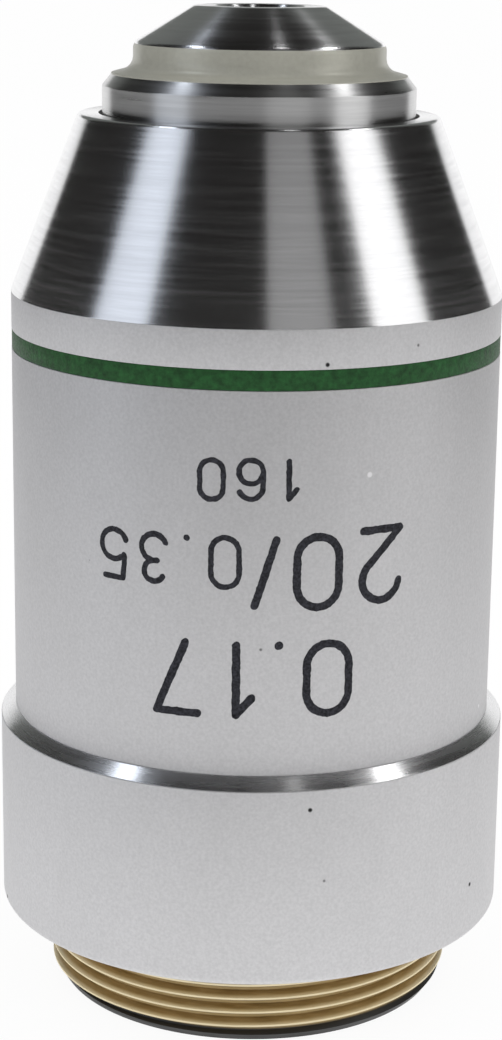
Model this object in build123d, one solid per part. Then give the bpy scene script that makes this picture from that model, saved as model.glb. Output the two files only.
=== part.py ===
from build123d import *
import math
import os

# Microscope objective for a 160 mm tube, standing on the end of its mounting thread.
# Lengths are millimetres. +Z runs along the optical axis to the front lens, and the
# origin is the centre of the thread's end face. A turned piece is drawn as one half
# section of (radius, height) corners and spun about Z.

# Mount: thread, light bore, collar and the spigot inside the sleeve
THREAD_RADIUS = 10.137          # half the major diameter of the standard objective thread
THREAD_LENGTH = 4.2             # end face to the shoulder that sets the focus
THREAD_LEAD_IN = 0.5            # radial depth of the chamfer at the thread's end
THREAD_LEAD_IN_HEIGHT = 0.7
THREAD_RELIEF_WIDTH = 0.7       # undercut beside the shoulder
THREAD_DEPTH = 0.45
SHOULDER_RELIEF_DEPTH = 0.15    # shallow recess round the thread, so the shoulder seats flat
SHOULDER_RELIEF_ROOM = 0.1      # recess beyond the thread's crest
THREAD_WALL = 1.537             # crest of the thread to the light bore
LIGHT_BORE_DEPTH = 11.0
LIGHT_BORE_CHAMFER = 0.3
COLLAR_HEIGHT = 9.65            # shoulder to the lower edge of the polished chamfer
COLLAR_STEP = 0.73              # how far the collar stands out from the sleeve
COLLAR_CHAMFER_HEIGHT = 0.5
COLLAR_EDGE_RADIUS = 0.3

# Sleeve: satin cylinder and polished cone, turned in one piece
SLEEVE_RADIUS = 11.92
SLEEVE_WALL = 1.05
SLEEVE_HEIGHT = 20.8            # cylinder only, above the collar
CONE_HEIGHT = 8.45
CONE_EDGE_RADIUS = 0.15
MOUTH_LIP_WIDTH = 1.09          # flat ring round the mouth
MOUTH_LAND = 2.0                # length of the bore that guides the nose
MOUTH_CHAMFER = 0.12
STOP_SETBACK = 0.55             # inner shoulder below the foot of the cone
BARREL_ROOM = 1.1               # free width round the barrel above the inner shoulder

# Coloured band
BAND_BELOW_CONE = 1.82
BAND_HEIGHT = 0.93
BAND_DEPTH = 0.2

# Fits
RUNNING_CLEARANCE = 0.06        # radial, where the barrel slides
SEAT_CLEARANCE = 0.03           # radial, where a piece sits still in its bore
CEMENT_GAP = 0.02               # between the two glasses of a cemented pair
LENS_TOUCH_GAP = 0.02           # between a curved glass and the edge that holds it

# Lens barrel: slides in the mount's guide bore and the sleeve's mouth
SPRING_ROOM = 3.37              # barrel to the sleeve's bore, where the spring lies
NOSE_PROJECTION = 1.83          # barrel's front face above the cone's mouth
NOSE_CHAMFER_WIDTH = 0.43       # polished chamfer round the barrel's front face
NOSE_CHAMFER_HEIGHT = 0.53
BARREL_WALL = 1.2
BARREL_TAIL = 0.83              # barrel's rear end behind the retaining ring
FLANGE_THICKNESS = 1.6
NOSE_TRAVEL = 2.0               # how far the nose can be pushed in

# Front cell: sloping shoulder, narrow neck and conical tip
CELL_SPIGOT_LENGTH = 4.0
SHOULDER_LAND = 0.05
SHOULDER_RISE = 0.27
SHOULDER_WIDTH = 1.04           # barrel's chamfer to the neck
NECK_FOOT_RADIUS = 0.5
NECK_HEIGHT = 1.15
TIP_FACE_RADIUS = 3.15
TIP_CONE_HEIGHT = 1.75
TIP_EDGE_RADIUS = 0.12
FRONT_APERTURE_RADIUS = 1.9
FRONT_LIP_THICKNESS = 0.45
FRONT_LIP_CHAMFER = 0.25
FRONT_SEAT_WIDTH = 0.67         # how far the tip's lip reaches in over the front lens
FRONT_POCKET_DEPTH = 1.0
THROAT_ROOM = 0.43              # free width behind the front lens
CELL_THROAT_LENGTH = 1.6
FRONT_CELL_WALL = 1.6           # round the second lens
SECOND_RING_HEIGHT = 1.2
SECOND_RING_WALL = 0.9

# Lenses: centre thickness, and how far each surface falls from its vertex to its rim
FRONT_LENS_THICKNESS = 2.0
FRONT_LENS_BACK_FALL = 1.29
SECOND_LENS_THICKNESS = 1.9
SECOND_LENS_FRONT_FALL = 1.02
SECOND_LENS_BACK_FALL = 2.09
DOUBLET_A_CROWN = 2.9
DOUBLET_A_FLINT = 1.4
DOUBLET_A_FRONT_FALL = 0.89
DOUBLET_A_CEMENT_FALL = 1.45
DOUBLET_A_BACK_FALL = 0.4
DOUBLET_B_CROWN = 2.6
DOUBLET_B_FLINT = 1.3
DOUBLET_B_FRONT_FALL = 0.68
DOUBLET_B_CEMENT_FALL = 1.35
DOUBLET_B_BACK_FALL = 0.31
REAR_LENS_THICKNESS = 3.0
REAR_LENS_FRONT_FALL = 1.25
REAR_LENS_BACK_FALL = 1.66

# Stack in the barrel, from the front cell back to the retaining ring
LENS_SEAT_WIDTH = 0.5           # how far a cell's lip reaches in over the glass
CELL_LIP_THICKNESS = 0.9
DOUBLET_A_CELL_WALL = 1.34
DOUBLET_A_CELL_HEIGHT = 5.2
FRONT_SPACER_HEIGHT = 2.8
SPACER_WALL = 0.95
STOP_THICKNESS = 0.4
STOP_RING_WIDTH = 3.47
DOUBLET_B_CELL_WALL = 1.64
DOUBLET_B_CELL_HEIGHT = 4.7
REAR_SPACER_HEIGHT = 5.0
REAR_CELL_WALL = 1.94
REAR_CELL_HEIGHT = 4.7
RETAINING_RING_HEIGHT = 1.8
RETAINING_RING_WALL = 1.4
SPANNER_SLOT_WIDTH = 1.0
SPANNER_SLOT_DEPTH = 0.8

# Spring and what it bears on
SHIM_THICKNESS = 0.3
SHIM_RIM_GAP = 0.1              # round a washer's rim and bore
SPRING_SEAT_THICKNESS = 0.5
SPRING_WIRE_RADIUS = 0.4
SPRING_TURNS = 5.0
SPRING_END_GAP = 0.02

# Guide screw in the spigot and its slot in the barrel
GUIDE_SCREW_ABOVE_TAIL = 2.35   # above the barrel's rear end
SPIGOT_ABOVE_SCREW = 3.5
GUIDE_SCREW_RADIUS = 1.0
GUIDE_TIP_RADIUS = 0.6
GUIDE_SLOT_DEPTH = 0.7
GUIDE_SIDE_CLEARANCE = 0.08
GUIDE_END_CLEARANCE = 0.15
GUIDE_SCREW_RECESS = 0.3        # screw's head below the spigot's surface
DRIVER_SLOT_WIDTH = 0.4
DRIVER_SLOT_DEPTH = 0.6
CUT_OVERRUN = 1.0               # how far a cutting shape runs past the face it opens

# Radii that follow from the sizes above, from the outside in
collar_radius = SLEEVE_RADIUS + COLLAR_STEP
sleeve_bore = SLEEVE_RADIUS - SLEEVE_WALL
band_floor = SLEEVE_RADIUS - BAND_DEPTH
light_bore = THREAD_RADIUS - THREAD_WALL
spigot_radius = sleeve_bore - SEAT_CLEARANCE
flange_radius = sleeve_bore - RUNNING_CLEARANCE
nose_radius = sleeve_bore - SPRING_ROOM
spring_radius = (nose_radius + sleeve_bore) / 2
guide_bore = nose_radius + RUNNING_CLEARANCE
cone_top_radius = guide_bore + MOUTH_LIP_WIDTH
relief_bore = nose_radius + BARREL_ROOM
shoulder_radius = nose_radius - NOSE_CHAMFER_WIDTH
neck_radius = shoulder_radius - SHOULDER_WIDTH
barrel_bore = nose_radius - BARREL_WALL
stack_radius = barrel_bore - SEAT_CLEARANCE
doublet_a_radius = stack_radius - DOUBLET_A_CELL_WALL - SEAT_CLEARANCE
doublet_b_radius = stack_radius - DOUBLET_B_CELL_WALL - SEAT_CLEARANCE
rear_lens_radius = stack_radius - REAR_CELL_WALL - SEAT_CLEARANCE
second_lens_radius = stack_radius - FRONT_CELL_WALL - SEAT_CLEARANCE
front_lens_radius = FRONT_APERTURE_RADIUS + FRONT_SEAT_WIDTH

# Heights that follow, from the thread's end up and from the barrel's front back
shoulder_z = THREAD_LENGTH
collar_edge_z = shoulder_z + COLLAR_HEIGHT
collar_top_z = collar_edge_z + COLLAR_CHAMFER_HEIGHT
cone_foot_z = collar_top_z + SLEEVE_HEIGHT
cone_top_z = cone_foot_z + CONE_HEIGHT
stop_z = cone_foot_z - STOP_SETBACK
band_top_z = cone_foot_z - BAND_BELOW_CONE
band_bottom_z = band_top_z - BAND_HEIGHT

barrel_front_z = cone_top_z + NOSE_PROJECTION
flange_front_z = stop_z - SHIM_THICKNESS
flange_rear_z = flange_front_z - FLANGE_THICKNESS

cell_rear_z = barrel_front_z - CELL_SPIGOT_LENGTH
neck_foot_z = barrel_front_z + SHOULDER_LAND + SHOULDER_RISE
tip_base_z = neck_foot_z + NECK_HEIGHT
tip_face_z = tip_base_z + TIP_CONE_HEIGHT
front_seat_z = tip_face_z - FRONT_LIP_THICKNESS
throat_top_z = front_seat_z - FRONT_POCKET_DEPTH
second_seat_z = throat_top_z - CELL_THROAT_LENGTH
second_front_z = second_seat_z - LENS_TOUCH_GAP - SECOND_LENS_FRONT_FALL

doublet_a_cell_z = cell_rear_z
front_spacer_z = doublet_a_cell_z - DOUBLET_A_CELL_HEIGHT
aperture_stop_z = front_spacer_z - FRONT_SPACER_HEIGHT
doublet_b_cell_z = aperture_stop_z - STOP_THICKNESS
rear_spacer_z = doublet_b_cell_z - DOUBLET_B_CELL_HEIGHT
rear_cell_z = rear_spacer_z - REAR_SPACER_HEIGHT
retaining_ring_z = rear_cell_z - REAR_CELL_HEIGHT
barrel_rear_z = retaining_ring_z - RETAINING_RING_HEIGHT - BARREL_TAIL

guide_z = barrel_rear_z + GUIDE_SCREW_ABOVE_TAIL
spigot_top_z = guide_z + SPIGOT_ABOVE_SCREW
spring_low_z = spigot_top_z + SPRING_SEAT_THICKNESS


def turned(*corners):
    """Spins a closed half section about Z. A corner is (radius, height) or
    (radius, height, rounding)."""
    points = [(corner[0], 0, corner[1]) for corner in corners]
    roundings = [corner[2] if len(corner) > 2 else 0 for corner in corners]
    outline = FilletPolyline(*points, radius=roundings, close=True)
    return revolve(make_face(outline), Axis.Z)


def washer(outer, inner, top_z, height):
    """A plain ring that hangs down from top_z."""
    low_z = top_z - height
    return turned((inner, low_z), (outer, low_z), (outer, top_z), (inner, top_z))


def fall_at(radius, edge, edge_fall):
    """How far a spherical surface that falls by edge_fall at its edge has fallen at a radius."""
    curve = (edge * edge + edge_fall * edge_fall) / (2 * edge_fall)
    return curve - math.sqrt(curve * curve - radius * radius)


def lens(edge, front_z, front_fall, back_z, back_fall):
    """A round lens between two vertices on the axis. A surface with a positive fall
    bulges up, one with a negative fall bulges down, and 0 is flat."""
    def surface(vertex_z, edge_fall):
        vertex = (0, 0, vertex_z)
        rim = (edge, 0, vertex_z - edge_fall)
        if edge_fall == 0:
            return Line(vertex, rim)
        half_fall = math.copysign(fall_at(edge / 2, edge, abs(edge_fall)), edge_fall)
        return ThreePointArc(vertex, (edge / 2, 0, vertex_z - half_fall), rim)

    back = surface(back_z, back_fall)
    front = surface(front_z, front_fall)
    rim_line = Line(back @ 1, front @ 1)
    axis_line = Line(front @ 0, back @ 0)
    return revolve(make_face([back, rim_line, front, axis_line]), Axis.Z)


def guide_hole(radius, near, far):
    """A radial cylinder on the +Y side at the guide screw's height."""
    length = far - near
    rod = Cylinder(radius, length, align=(Align.CENTER, Align.CENTER, Align.MIN))
    return Pos(0, near, guide_z) * Rot(-90, 0, 0) * rod


def make_threaded_mount():
    """Thread, shoulder, collar with its polished chamfer, and the spigot."""
    thread_root = THREAD_RADIUS - THREAD_DEPTH
    relief_radius = THREAD_RADIUS + SHOULDER_RELIEF_ROOM
    relief_z = shoulder_z + SHOULDER_RELIEF_DEPTH
    body = turned(
        (light_bore + LIGHT_BORE_CHAMFER, 0),
        (THREAD_RADIUS - THREAD_LEAD_IN, 0),
        (THREAD_RADIUS, THREAD_LEAD_IN_HEIGHT),
        (THREAD_RADIUS, shoulder_z - THREAD_RELIEF_WIDTH),
        (thread_root, shoulder_z - THREAD_RELIEF_WIDTH),
        (thread_root, relief_z),
        (relief_radius, relief_z),
        (relief_radius, shoulder_z),
        (collar_radius, shoulder_z, COLLAR_EDGE_RADIUS),
        (collar_radius, collar_edge_z),
        (SLEEVE_RADIUS, collar_top_z),
        (spigot_radius, collar_top_z),
        (spigot_radius, spigot_top_z),
        (guide_bore, spigot_top_z),
        (guide_bore, LIGHT_BORE_DEPTH),
        (light_bore, LIGHT_BORE_DEPTH),
        (light_bore, LIGHT_BORE_CHAMFER),
    )
    return body - guide_hole(GUIDE_SCREW_RADIUS + SEAT_CLEARANCE, 0, spigot_radius + CUT_OVERRUN)


def make_sleeve():
    """Outer tube with the band's groove, the polished cone and the inner stop."""
    relief_top_z = cone_top_z - MOUTH_LAND
    relief_taper = relief_bore - guide_bore
    return turned(
        (sleeve_bore, collar_top_z),
        (SLEEVE_RADIUS, collar_top_z),
        (SLEEVE_RADIUS, band_bottom_z),
        (band_floor, band_bottom_z),
        (band_floor, band_top_z),
        (SLEEVE_RADIUS, band_top_z),
        (SLEEVE_RADIUS, cone_foot_z),
        (cone_top_radius, cone_top_z, CONE_EDGE_RADIUS),
        (guide_bore + MOUTH_CHAMFER, cone_top_z),
        (guide_bore, cone_top_z - MOUTH_CHAMFER),
        (guide_bore, relief_top_z),
        (relief_bore, relief_top_z - relief_taper),
        (relief_bore, stop_z),
        (sleeve_bore, stop_z),
    )


def make_magnification_band():
    """Ring of coloured enamel that fills the sleeve's groove."""
    return washer(SLEEVE_RADIUS, band_floor + SEAT_CLEARANCE, band_top_z, BAND_HEIGHT)


def make_parfocal_shim():
    """Thin washer between the inner stop and the barrel's flange."""
    return washer(sleeve_bore - SHIM_RIM_GAP, relief_bore + SHIM_RIM_GAP, stop_z, SHIM_THICKNESS)


def make_spring_seat():
    """Washer on the spigot's end that the spring stands on."""
    return washer(sleeve_bore - SHIM_RIM_GAP, nose_radius + 2 * SHIM_RIM_GAP,
                  spring_low_z, SPRING_SEAT_THICKNESS)


def make_spring():
    """Compression spring with ends ground flat, from its seat to the flange."""
    low_z = spring_low_z + SPRING_END_GAP
    high_z = flange_rear_z - SPRING_END_GAP
    pitch = (high_z - low_z) / SPRING_TURNS
    path = Pos(0, 0, low_z) * Helix(pitch, high_z - low_z, spring_radius)
    section = Plane(origin=path @ 0, z_dir=path % 0) * Circle(SPRING_WIRE_RADIUS)
    wire = sweep(section, path, is_frenet=True)
    slab = Cylinder(sleeve_bore, high_z - low_z, align=(Align.CENTER, Align.CENTER, Align.MIN))
    return wire & (Pos(0, 0, low_z) * slab)


def make_guide_screw():
    """Headless screw in the spigot whose tip runs in the barrel's slot."""
    slot_floor = nose_radius - GUIDE_SLOT_DEPTH
    thread_start = guide_bore + SEAT_CLEARANCE
    head = spigot_radius - GUIDE_SCREW_RECESS
    body = guide_hole(GUIDE_SCREW_RADIUS, thread_start, head)
    tip = guide_hole(GUIDE_TIP_RADIUS, slot_floor + GUIDE_END_CLEARANCE, head)
    slot_length = 2 * (GUIDE_SCREW_RADIUS + CUT_OVERRUN)
    driver_slot = Box(slot_length, 2 * DRIVER_SLOT_DEPTH, DRIVER_SLOT_WIDTH)
    return body + tip - Pos(0, head, guide_z) * driver_slot


def make_lens_barrel():
    """Tube that carries the lenses, with the flange that stops against the shim."""
    body = turned(
        (barrel_bore, barrel_rear_z),
        (nose_radius, barrel_rear_z),
        (nose_radius, flange_rear_z),
        (flange_radius, flange_rear_z),
        (flange_radius, flange_front_z),
        (nose_radius, flange_front_z),
        (nose_radius, barrel_front_z - NOSE_CHAMFER_HEIGHT),
        (shoulder_radius, barrel_front_z),
        (barrel_bore, barrel_front_z),
    )
    half_width = GUIDE_TIP_RADIUS + GUIDE_SIDE_CLEARANCE
    low_z = guide_z - GUIDE_TIP_RADIUS - GUIDE_END_CLEARANCE
    high_z = guide_z + GUIDE_TIP_RADIUS + GUIDE_END_CLEARANCE + NOSE_TRAVEL
    floor = nose_radius - GUIDE_SLOT_DEPTH
    slot = Box(2 * half_width, 2 * GUIDE_SLOT_DEPTH, high_z - low_z,
               align=(Align.CENTER, Align.MIN, Align.MIN))
    return body - Pos(0, floor, low_z) * slot


def make_front_cell():
    """Visible tip: sloping shoulder, neck and cone, with pockets for two lenses."""
    front_pocket = front_lens_radius + SEAT_CLEARANCE
    second_pocket = second_lens_radius + SEAT_CLEARANCE
    throat = front_lens_radius + THROAT_ROOM
    return turned(
        (second_pocket, cell_rear_z),
        (stack_radius, cell_rear_z),
        (stack_radius, barrel_front_z),
        (shoulder_radius, barrel_front_z),
        (shoulder_radius, barrel_front_z + SHOULDER_LAND),
        (neck_radius, neck_foot_z, NECK_FOOT_RADIUS),
        (neck_radius, tip_base_z, TIP_EDGE_RADIUS),
        (TIP_FACE_RADIUS, tip_face_z, TIP_EDGE_RADIUS),
        (FRONT_APERTURE_RADIUS + FRONT_LIP_CHAMFER, tip_face_z),
        (FRONT_APERTURE_RADIUS, tip_face_z - FRONT_LIP_CHAMFER),
        (FRONT_APERTURE_RADIUS, front_seat_z),
        (front_pocket, front_seat_z),
        (front_pocket, throat_top_z),
        (throat, throat_top_z),
        (throat, second_seat_z),
        (second_pocket, second_seat_z),
    )


def make_front_lens():
    """Plano-convex lens with its flat face against the lip of the tip."""
    back_z = front_seat_z - FRONT_LENS_THICKNESS
    return lens(front_lens_radius, front_seat_z, 0, back_z, -FRONT_LENS_BACK_FALL)


def make_second_lens():
    """Meniscus lens, hollow side to the front."""
    back_z = second_front_z - SECOND_LENS_THICKNESS
    return lens(second_lens_radius, second_front_z, -SECOND_LENS_FRONT_FALL,
                back_z, -SECOND_LENS_BACK_FALL)


def make_second_lens_ring():
    """Threaded ring that holds the second lens in the front cell."""
    bore = second_lens_radius - SECOND_RING_WALL
    back_z = second_front_z - SECOND_LENS_THICKNESS
    touch_z = back_z + fall_at(bore, second_lens_radius, SECOND_LENS_BACK_FALL)
    return washer(second_lens_radius, bore, touch_z - LENS_TOUCH_GAP, SECOND_RING_HEIGHT)


def make_cell(lens_radius, top_z, height):
    """Brass ring with a lip at the front and a pocket for the glass behind it."""
    pocket = lens_radius + SEAT_CLEARANCE
    opening = lens_radius - LENS_SEAT_WIDTH
    low_z = top_z - height
    lip_z = top_z - CELL_LIP_THICKNESS
    return turned((pocket, low_z), (stack_radius, low_z), (stack_radius, top_z),
                  (opening, top_z), (opening, lip_z), (pocket, lip_z))


def make_doublet(edge, cell_top_z, crown, flint, front_fall, cement_fall, back_fall):
    """The two glasses of a cemented pair, seated on the lip of their cell."""
    lip_z = cell_top_z - CELL_LIP_THICKNESS
    front_z = lip_z + fall_at(edge - LENS_SEAT_WIDTH, edge, front_fall) - LENS_TOUCH_GAP
    cement_z = front_z - crown
    flint_z = cement_z - CEMENT_GAP
    crown_glass = lens(edge, front_z, front_fall, cement_z, -cement_fall)
    flint_glass = lens(edge, flint_z, -cement_fall, flint_z - flint, -back_fall)
    return crown_glass, flint_glass


def make_rear_lens():
    """Thick meniscus that flattens the field, hollow side to the front."""
    lip_z = rear_cell_z - CELL_LIP_THICKNESS
    front_z = lip_z - LENS_TOUCH_GAP - REAR_LENS_FRONT_FALL
    return lens(rear_lens_radius, front_z, -REAR_LENS_FRONT_FALL,
                front_z - REAR_LENS_THICKNESS, -REAR_LENS_BACK_FALL)


def make_retaining_ring():
    """Ring that clamps the stack, with two slots for a spanner in its rear face."""
    low_z = retaining_ring_z - RETAINING_RING_HEIGHT
    ring = washer(stack_radius, stack_radius - RETAINING_RING_WALL, retaining_ring_z,
                  RETAINING_RING_HEIGHT)
    slot_length = 2 * (stack_radius + CUT_OVERRUN)
    slot = Box(slot_length, SPANNER_SLOT_WIDTH, 2 * SPANNER_SLOT_DEPTH)
    return ring - Pos(0, 0, low_z) * slot


doublet_a_crown, doublet_a_flint = make_doublet(
    doublet_a_radius, doublet_a_cell_z, DOUBLET_A_CROWN, DOUBLET_A_FLINT,
    DOUBLET_A_FRONT_FALL, DOUBLET_A_CEMENT_FALL, DOUBLET_A_BACK_FALL)
doublet_b_crown, doublet_b_flint = make_doublet(
    doublet_b_radius, doublet_b_cell_z, DOUBLET_B_CROWN, DOUBLET_B_FLINT,
    DOUBLET_B_FRONT_FALL, DOUBLET_B_CEMENT_FALL, DOUBLET_B_BACK_FALL)

nodes = {
    "threaded_mount": make_threaded_mount(),
    "sleeve": make_sleeve(),
    "magnification_band": make_magnification_band(),
    "parfocal_shim": make_parfocal_shim(),
    "spring_seat": make_spring_seat(),
    "nose_spring": make_spring(),
    "guide_screw": make_guide_screw(),
    "lens_barrel": make_lens_barrel(),
    "front_cell": make_front_cell(),
    "front_lens": make_front_lens(),
    "second_lens": make_second_lens(),
    "second_lens_ring": make_second_lens_ring(),
    "doublet_a_cell": make_cell(doublet_a_radius, doublet_a_cell_z, DOUBLET_A_CELL_HEIGHT),
    "doublet_a_crown": doublet_a_crown,
    "doublet_a_flint": doublet_a_flint,
    "front_spacer": washer(stack_radius, stack_radius - SPACER_WALL, front_spacer_z,
                           FRONT_SPACER_HEIGHT),
    "aperture_stop": washer(stack_radius, stack_radius - STOP_RING_WIDTH, aperture_stop_z,
                            STOP_THICKNESS),
    "doublet_b_cell": make_cell(doublet_b_radius, doublet_b_cell_z, DOUBLET_B_CELL_HEIGHT),
    "doublet_b_crown": doublet_b_crown,
    "doublet_b_flint": doublet_b_flint,
    "rear_spacer": washer(stack_radius, stack_radius - SPACER_WALL, rear_spacer_z,
                          REAR_SPACER_HEIGHT),
    "rear_cell": make_cell(rear_lens_radius, rear_cell_z, REAR_CELL_HEIGHT),
    "rear_lens": make_rear_lens(),
    "retaining_ring": make_retaining_ring(),
}

os.makedirs("parts", exist_ok=True)
for name, shape in nodes.items():
    export_step(shape, f"parts/{name}.step")
    print(f"{name:20s} {shape.volume:10.2f} mm3")
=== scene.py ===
"""Looks of a microscope objective with a sprung nose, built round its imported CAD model.

Sizes in this file are millimetres, and a mesh is scaled to metres when it is finished. +Z
runs along the optical axis from the mounting thread's end to the front lens, and the
photograph is taken from the -Y side.
"""

import logging
import math
from dataclasses import dataclass, field
from enum import Enum
from typing import Callable, Optional, Sequence

import bmesh
import bpy
from mathutils import Euler, Matrix, Vector, noise


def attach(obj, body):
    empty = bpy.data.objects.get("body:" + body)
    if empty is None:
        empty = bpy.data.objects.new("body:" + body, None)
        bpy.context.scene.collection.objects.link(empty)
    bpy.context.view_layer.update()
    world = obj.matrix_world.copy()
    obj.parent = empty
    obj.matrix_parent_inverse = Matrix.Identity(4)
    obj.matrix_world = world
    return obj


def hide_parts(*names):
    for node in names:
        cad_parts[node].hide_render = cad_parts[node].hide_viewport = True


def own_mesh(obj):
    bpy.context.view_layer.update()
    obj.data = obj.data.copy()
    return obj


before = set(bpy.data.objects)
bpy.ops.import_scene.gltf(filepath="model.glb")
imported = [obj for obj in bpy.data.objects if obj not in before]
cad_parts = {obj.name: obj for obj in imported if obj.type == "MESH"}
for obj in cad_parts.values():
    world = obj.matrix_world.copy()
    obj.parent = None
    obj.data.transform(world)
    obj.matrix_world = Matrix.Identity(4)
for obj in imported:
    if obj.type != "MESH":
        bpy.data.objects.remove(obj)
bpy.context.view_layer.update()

MM = 0.001                        # a millimetre in metres
MERGE = 1e-4                      # points nearer than this are one point
NEAR = 0.01                       # slack when a face's place is told from a boundary
SHARP_TURN = math.radians(28)     # faces that meet at more than this keep a crisp edge
QUARTER = math.radians(90)
log = logging.getLogger("objective")


class Body(Enum):
    """Rigid bodies that the pieces ride on."""

    HOUSING = "housing"
    NOSE = "nose"


class Slot(Enum):
    """Material slots of the record."""

    SATIN_CHROME = "satin_chrome"
    POLISHED_CHROME = "polished_chrome"
    GREEN_ENAMEL = "green_enamel"
    PLAIN_BRASS = "plain_brass"
    BLACKENED_BRASS = "blackened_brass"
    SPRING_STEEL = "spring_steel"
    OPTICAL_GLASS = "optical_glass"


class Sign(Enum):
    """Signs that the engraving pen can draw."""

    ZERO = "0"
    ONE = "1"
    TWO = "2"
    THREE = "3"
    FIVE = "5"
    SIX = "6"
    SEVEN = "7"
    SLASH = "/"
    POINT = "."


class Graph:
    """Wires the nodes of one material."""

    def __init__(self, name: str) -> None:
        """Starts a material with its own Principled shader.

        Args:
            name: name of the new material.
        """
        self.material = bpy.data.materials.new(name)
        self.material.use_nodes = True
        self.nodes = self.material.node_tree.nodes
        self.links = self.material.node_tree.links
        self.shader = self.nodes["Principled BSDF"]
        self.place = self.add("ShaderNodeTexCoord").outputs["Object"]

    def add(self, kind: str, inputs: Optional[dict] = None, **settings: object) -> bpy.types.Node:
        """Adds a node.

        Args:
            kind: Blender's name of the node type.
            inputs: socket name or index, and the value or output that feeds it.
            settings: properties of the node.

        Returns:
            The new node.
        """
        node = self.nodes.new(kind)
        for key, value in settings.items():
            setattr(node, key, value)
        self.feed(node, inputs or {})
        return node

    def feed(self, node: bpy.types.Node, inputs: dict) -> None:
        """Sets or links input sockets.

        Args:
            node: node whose sockets are fed.
            inputs: socket name or index, and the value or output that feeds it.
        """
        for key, value in inputs.items():
            if isinstance(value, bpy.types.NodeSocket):
                self.links.new(value, node.inputs[key])
            else:
                node.inputs[key].default_value = value

    def finish(self, **inputs: object) -> None:
        """Feeds the Principled shader; underscores in a name stand for spaces."""
        self.feed(self.shader, {key.replace("_", " "): value for key, value in inputs.items()})

    def show(self, surface: bpy.types.NodeSocket) -> None:
        """Makes a shader's output the surface of the material."""
        self.links.new(surface, self.nodes["Material Output"].inputs["Surface"])

    def grain(self, size: Sequence[float], detail: float = 3.0, rough: float = 0.5,
              shift: float = 0.0) -> bpy.types.NodeSocket:
        """Noise whose lumps have a given size along each axis.

        Args:
            size: lump size in millimetres along X, Y and Z.
            detail: octaves of the noise.
            rough: strength of the finer octaves.
            shift: moves the pattern, so that two grains differ.

        Returns:
            The noise value, about 0.5 on average.
        """
        scale = [1.0 / (length * MM) for length in size]
        at = self.add("ShaderNodeMapping", {"Vector": self.place, "Location": (shift,) * 3,
                                            "Scale": scale})
        node = self.add("ShaderNodeTexNoise", {"Vector": at.outputs[0], "Scale": 1.0,
                                               "Detail": detail, "Roughness": rough})
        return node.outputs["Fac"]

    def ramp(self, value: bpy.types.NodeSocket, low: float, high: float, start: float = 0.0,
             end: float = 1.0) -> bpy.types.NodeSocket:
        """Maps a value from one range to another and keeps it inside.

        Args:
            value: output to map.
            low: value that becomes start.
            high: value that becomes end.
            start: result at low.
            end: result at high.

        Returns:
            The mapped value.
        """
        node = self.add("ShaderNodeMapRange", {0: value, 1: low, 2: high, 3: start, 4: end})
        return node.outputs[0]

    def uneven(self, grain: bpy.types.NodeSocket, middle: float,
               swing: float) -> bpy.types.NodeSocket:
        """Lets a number wander with a grain.

        Args:
            grain: noise value that the number follows.
            middle: the number's average.
            swing: how far it goes to either side.

        Returns:
            The wandering number.
        """
        return self.ramp(grain, 0.3, 0.7, middle - swing, middle + swing)

    def blend(self, share: object, first: object, second: object) -> bpy.types.NodeSocket:
        """Mixes two colours.

        Args:
            share: how much of the second colour, a value or an output.
            first: first colour.
            second: second colour.

        Returns:
            The mixed colour.
        """
        node = self.add("ShaderNodeMix", data_type="RGBA")
        self.feed(node, {0: share, 6: first, 7: second})
        return node.outputs[2]

    def bump(self, height: bpy.types.NodeSocket, depth: float,
             over: Optional[bpy.types.NodeSocket] = None) -> bpy.types.NodeSocket:
        """Turns a height into a normal.

        Args:
            height: output whose value is the height.
            depth: millimetres between a height of 0 and of 1.
            over: normal that this one is laid over.

        Returns:
            The bumped normal.
        """
        inputs = {"Height": height, "Distance": depth * MM}
        if over is not None:
            inputs["Normal"] = over
        return self.add("ShaderNodeBump", inputs).outputs[0]


@dataclass(frozen=True)
class Finish:
    """A surface finish that makes its node material once."""

    name: str
    slot: Slot
    colour: tuple[float, float, float] = (0.7, 0.7, 0.7)

    def material(self) -> bpy.types.Material:
        """Gives the finish's material, and makes it at the first call.

        Returns:
            The material.
        """
        found = bpy.data.materials.get(self.name)
        if found is None:
            graph = Graph(self.name)
            self.wire(graph)
            found = graph.material
            found.diffuse_color = (*self.colour, 1.0)
        return found

    def wire(self, graph: Graph) -> None:
        """Wires the nodes of the finish; each kind of finish has its own.

        Args:
            graph: graph of the new material.
        """
        raise NotImplementedError

    def rgba(self, share: float = 1.0) -> tuple[float, float, float, float]:
        """The finish's colour, made darker or lighter by a share."""
        return (*(min(1.0, part * share) for part in self.colour), 1.0)

    def mottle(self, graph: Graph, grain: bpy.types.NodeSocket, dark: float, light: float,
               spread: float = 0.15) -> bpy.types.NodeSocket:
        """Varies the finish's colour with a grain.

        Args:
            graph: graph of the material.
            grain: noise value that the colour follows.
            dark: share of the colour where the grain is low.
            light: share of the colour where the grain is high.
            spread: how far from its average the grain gives the full dark or light.

        Returns:
            The varied colour.
        """
        share = graph.ramp(grain, 0.5 - spread, 0.5 + spread)
        return graph.blend(share, self.rgba(dark), self.rgba(light))


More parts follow.
